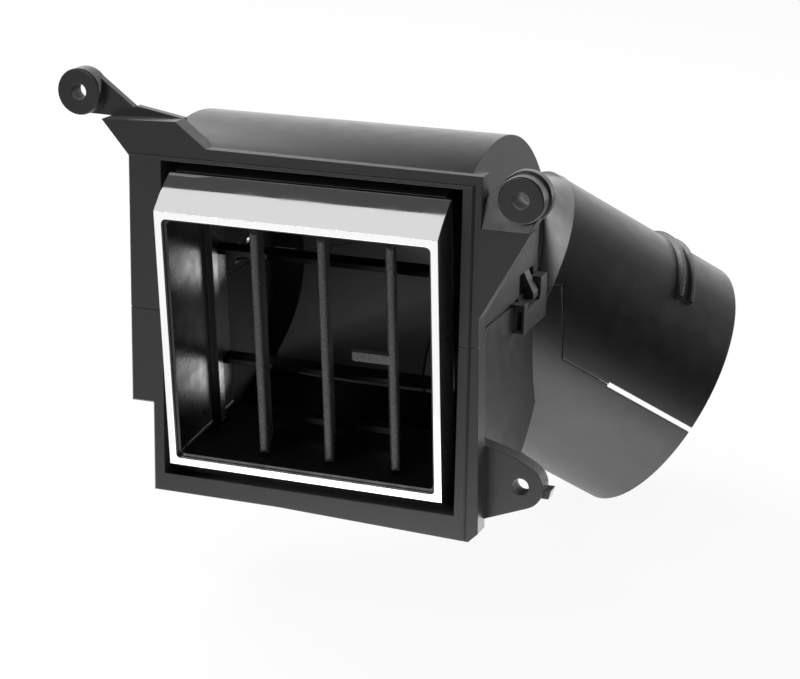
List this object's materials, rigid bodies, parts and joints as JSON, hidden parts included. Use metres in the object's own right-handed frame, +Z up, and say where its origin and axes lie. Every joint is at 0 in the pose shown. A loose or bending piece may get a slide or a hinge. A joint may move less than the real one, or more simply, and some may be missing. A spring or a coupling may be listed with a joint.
{
  "type": "dashboard air vent",
  "caption": "Dashboard air vent with a tilting chromed outlet, linked upright vanes, a split barrel housing with fixing ears and a round hose neck.",
  "frame": {"origin": "centre of the front opening, in the plane of the front frame", "axes": "+X to the right seen from the seat, +Y back into the dash, +Z up; air leaves along -Y"},
  "size_m": [0.1898, 0.1924, 0.1596],
  "materials": {
    "housing_plastic": "satin moulded black",
    "outlet_plastic": "satin moulded black",
    "vane_plastic": "fine spark-eroded grain",
    "chrome": "bright plated plastic",
    "washer_rubber": "soft black",
    "felt": "black needle felt"
  },
  "bodies": {
    "housing": {"upper_housing": "housing_plastic", "lower_housing": "housing_plastic"},
    "outlet": {"nozzle_body": "outlet_plastic", "chrome_bezel": "chrome", "friction_washer_left": "washer_rubber", "friction_washer_right": "washer_rubber", "upper_felt_strip": "felt", "lower_felt_strip": "felt"},
    "left_vane": {"vane_left": "vane_plastic"},
    "middle_vane": {"vane_middle": "vane_plastic"},
    "right_vane": {"vane_right": "vane_plastic"},
    "link": {"vane_link": "outlet_plastic"}
  },
  "joints": [
    {"name": "outlet_tilt", "type": "hinge", "parent": "housing", "child": "outlet", "pos_m": [0, 0.029, 0], "axis": [1, 0, 0], "range_deg": [-26.5, 13.5]},
    {"name": "vane_turn", "type": "hinge", "parent": "outlet", "child": "right_vane", "pos_m": [0.02165, 0.01499, -0.0016], "axis": [0, -0.1132, 0.9936], "range_deg": [-61, 19]},
    {"name": "left_vane_turn", "type": "hinge", "parent": "outlet", "child": "left_vane", "pos_m": [-0.02165, 0.01499, -0.0016], "axis": [0, -0.1132, 0.9936], "range_deg": [-61, 19]},
    {"name": "middle_vane_turn", "type": "hinge", "parent": "outlet", "child": "middle_vane", "pos_m": [0, 0.01499, -0.0016], "axis": [0, -0.1132, 0.9936], "range_deg": [-61, 19]},
    {"name": "link_swing", "type": "hinge", "parent": "middle_vane", "child": "link", "pos_m": [-0.00237, 0.02111, -0.0009], "axis": [0, -0.1132, 0.9936], "range_deg": [-19, 61]}
  ],
  "couplings": [
    {"joint": "left_vane_turn", "follows": "vane_turn", "ratio": 1},
    {"joint": "middle_vane_turn", "follows": "vane_turn", "ratio": 1},
    {"joint": "link_swing", "follows": "vane_turn", "ratio": -1}
  ]
}
